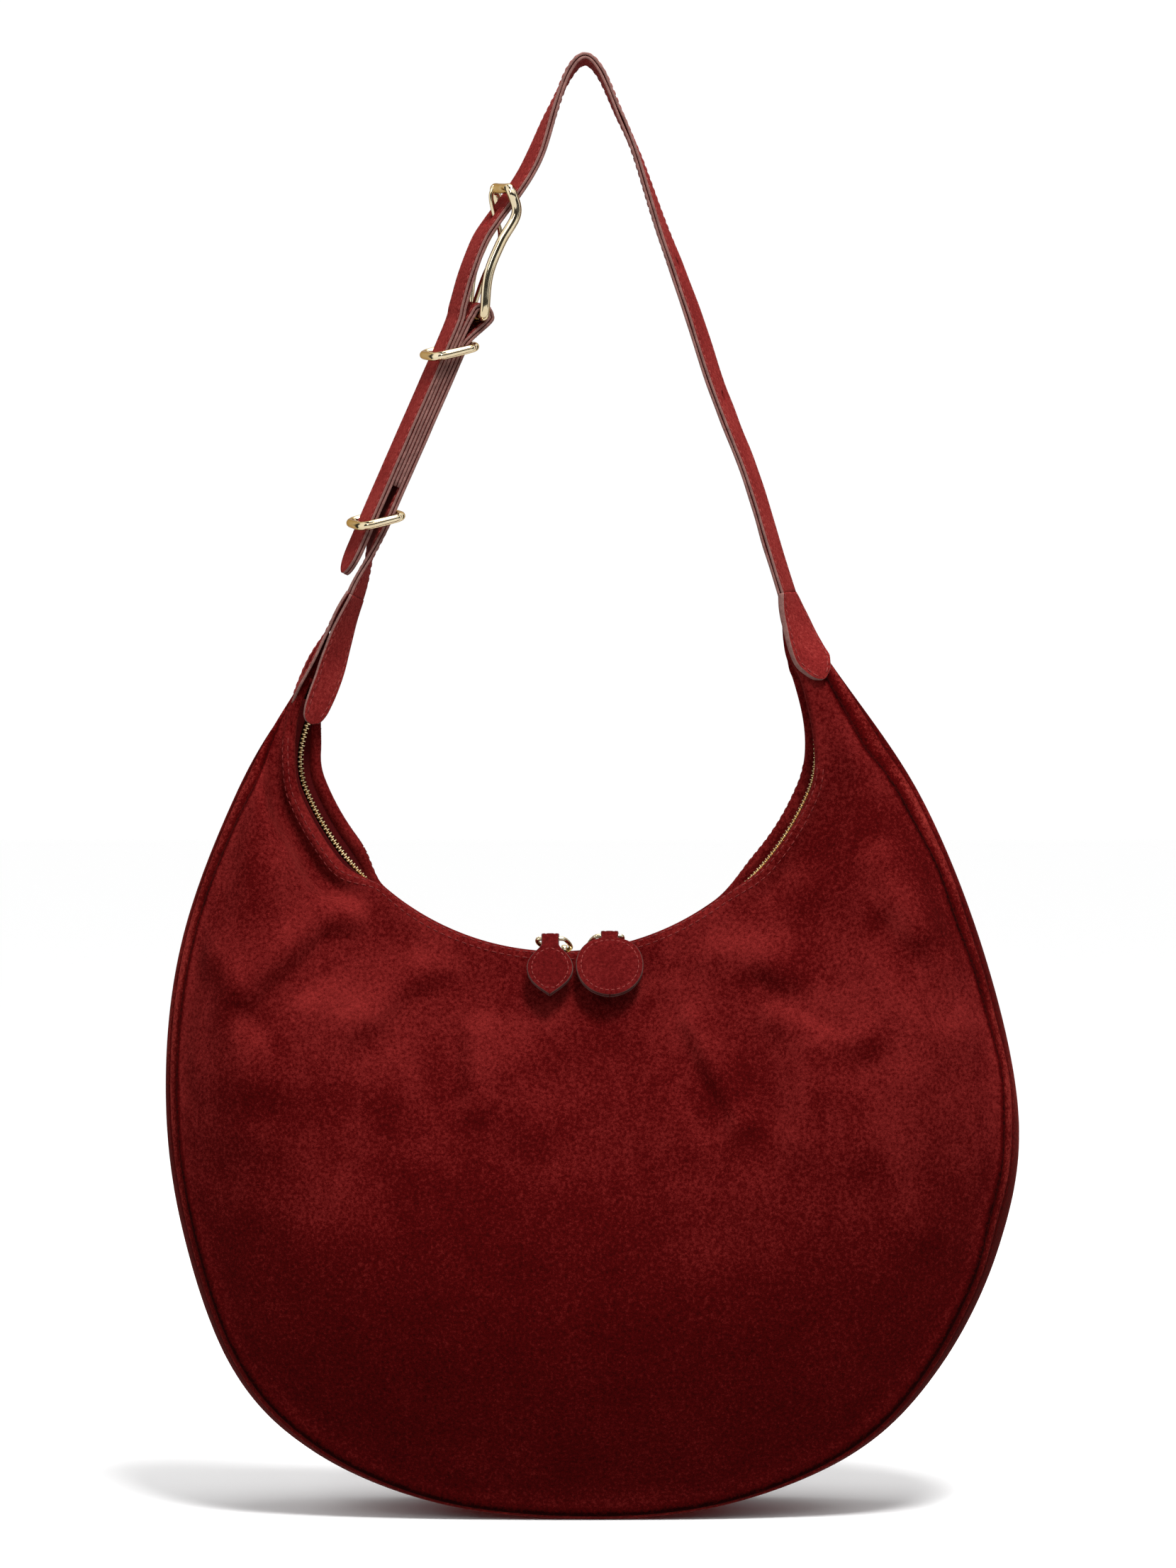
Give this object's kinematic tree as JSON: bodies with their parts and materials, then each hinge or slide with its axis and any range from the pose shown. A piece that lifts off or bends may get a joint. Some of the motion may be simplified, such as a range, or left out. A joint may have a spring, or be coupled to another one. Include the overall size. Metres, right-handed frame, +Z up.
{
  "type": "hobo bag",
  "caption": "Crescent shoulder bag in soft suede with a curved two-way zip, leather pull tags and a long buckled strap.",
  "frame": {"origin": "middle of the base, on the surface that the bag stands on", "axes": "+Z up along the strap, +X to the right seen from the front, the front faces -Y"},
  "size_m": [0.4425, 0.1418, 0.7537],
  "materials": {
    "suede": "soft brushed nap, dark red",
    "suede_backing": "suede, darker inner face",
    "lining_cloth": "plain woven cotton",
    "zip_tape": "woven tape",
    "brass": "pale polished"
  },
  "bodies": {
    "bag": {"front_panel": "suede", "back_panel": "suede", "gusset": "suede", "lining": "lining_cloth", "inner_pocket": "lining_cloth", "zip_tape_front": "zip_tape", "zip_tape_back": "zip_tape", "zip_teeth_front": "brass", "zip_teeth_back": "brass", "zip_stop_left": "brass", "zip_stop_right": "brass", "strap_root_left": "suede", "strap_root_right": "suede"},
    "strap": {"long_strap_face": "suede", "long_strap_backing": "suede_backing", "anchor_strap_face": "suede", "anchor_strap_backing": "suede_backing", "buckle_frame": "brass"},
    "prong": {"buckle_prong": "brass"},
    "keeper_upper": {"keeper_upper": "brass"},
    "keeper_lower": {"keeper_lower": "brass"},
    "slider_left": {"slider_left": "brass"},
    "slider_right": {"slider_right": "brass"},
    "ring_left": {"pull_ring_left": "brass"},
    "ring_right": {"pull_ring_right": "brass"},
    "shield_tag": {"shield_tag": "suede"},
    "round_tag": {"round_tag": "suede"}
  },
  "joints": [
    {"name": "strap_swing", "type": "hinge", "parent": "bag", "child": "strap", "pos_m": [0, 0, 0.43], "axis": [1, 0, 0], "range_deg": [-110, 110], "deforming": ["strap_root_left", "strap_root_right"]},
    {"name": "keeper_upper_slide", "type": "slide", "parent": "strap", "child": "keeper_upper", "axis": [0.4001, 0, 0.9165], "range_m": [-0.03, 0]},
    {"name": "keeper_lower_slide", "type": "slide", "parent": "strap", "child": "keeper_lower", "axis": [0.4001, 0, 0.9165], "range_m": [0, 0.03]},
    {"name": "prong_pivot", "type": "hinge", "parent": "strap", "child": "prong", "pos_m": [-0.0606, 0.0017, 0.619], "axis": [0.2832, -0.9511, -0.1236], "range_deg": [0, 3]},
    {"name": "slider_left_travel", "type": "hinge", "parent": "bag", "child": "slider_left", "pos_m": [-0.018, 0, 0.426], "axis": [0, 1, 0], "range_deg": [0, 64]},
    {"name": "slider_right_travel", "type": "hinge", "parent": "bag", "child": "slider_right", "pos_m": [-0.018, 0, 0.426], "axis": [0, -1, 0], "range_deg": [0, 55]},
    {"name": "ring_left_swing", "type": "hinge", "parent": "slider_left", "child": "ring_left", "pos_m": [-0.0147, 0, 0.2892], "axis": [-1, 0, 0], "range_deg": [0, 75]},
    {"name": "ring_right_swing", "type": "hinge", "parent": "slider_right", "child": "ring_right", "pos_m": [0.0015, 0, 0.2906], "axis": [-1, 0, 0], "range_deg": [0, 75]},
    {"name": "shield_tag_swing", "type": "hinge", "parent": "ring_left", "child": "shield_tag", "pos_m": [-0.0147, -0.0077, 0.2955], "axis": [-1, 0, 0], "range_deg": [0, 60]},
    {"name": "round_tag_swing", "type": "hinge", "parent": "ring_right", "child": "round_tag", "pos_m": [0.0015, -0.0077, 0.2969], "axis": [-1, 0, 0], "range_deg": [0, 60]}
  ]
}
